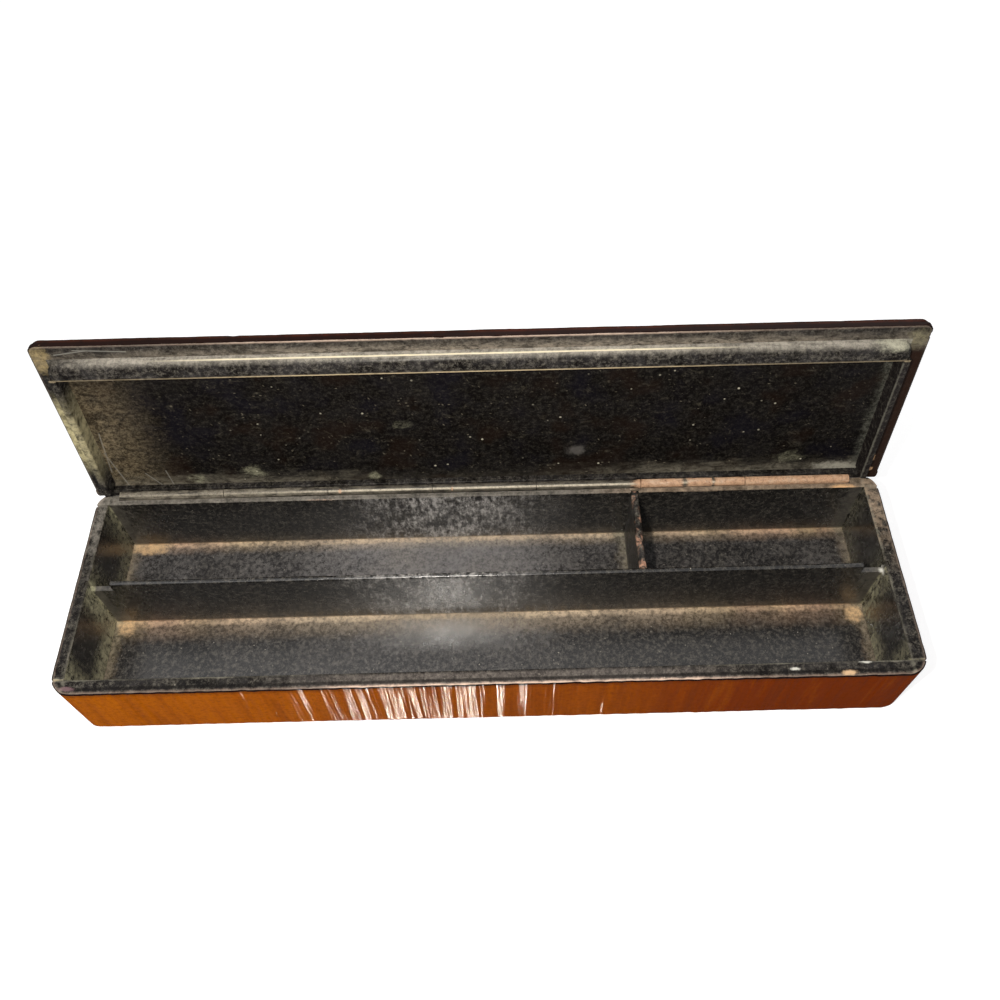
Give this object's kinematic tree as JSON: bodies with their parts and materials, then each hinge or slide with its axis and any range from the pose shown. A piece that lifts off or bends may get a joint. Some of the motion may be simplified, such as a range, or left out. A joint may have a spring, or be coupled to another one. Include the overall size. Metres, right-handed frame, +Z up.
{
  "type": "lacquered wooden pencil box",
  "caption": "Long, shallow lacquered wooden pencil box with a lid hinged along the back, a long divider and a short cross partition.",
  "frame": {"origin": "centre of the flat underside", "axes": "+X to the right along the length, +Y towards the hinge at the back, +Z up; drawn with the lid open 98 degrees"},
  "size_m": [0.225, 0.0701, 0.0844],
  "materials": {
    "amber_lacquered_wood": "glossy amber lacquer over figured wood, black lacquer inside, worn at the edges",
    "black_lacquered_wood": "worn satin black lacquer with dust in the corners",
    "red_lacquered_wood": "glossy red-brown lacquer outside, worn black lacquer inside",
    "hinge_metal": "tarnished copper-coloured brass under broken black lacquer"
  },
  "bodies": {
    "base": {"base_front_board": "amber_lacquered_wood", "base_back_board": "amber_lacquered_wood", "base_left_end": "amber_lacquered_wood", "base_right_end": "amber_lacquered_wood", "base_bottom_board": "black_lacquered_wood", "long_divider": "black_lacquered_wood", "cross_partition": "black_lacquered_wood", "hinge_base_leaf": "hinge_metal", "hinge_pin": "hinge_metal", "base_leaf_pins": "hinge_metal"},
    "lid": {"lid_top_board": "red_lacquered_wood", "lid_front_rail": "black_lacquered_wood", "lid_back_rail": "black_lacquered_wood", "lid_left_rail": "black_lacquered_wood", "lid_right_rail": "black_lacquered_wood", "lid_front_lip": "black_lacquered_wood", "lid_left_lip": "black_lacquered_wood", "lid_right_lip": "black_lacquered_wood", "hinge_lid_leaf": "hinge_metal", "lid_leaf_pins": "hinge_metal"}
  },
  "joints": [
    {"name": "lid_hinge", "type": "hinge", "parent": "base", "child": "lid", "pos_m": [0, 0.02855, 0.02678], "axis": [1, 0, 0], "range_deg": [0, 98]}
  ]
}
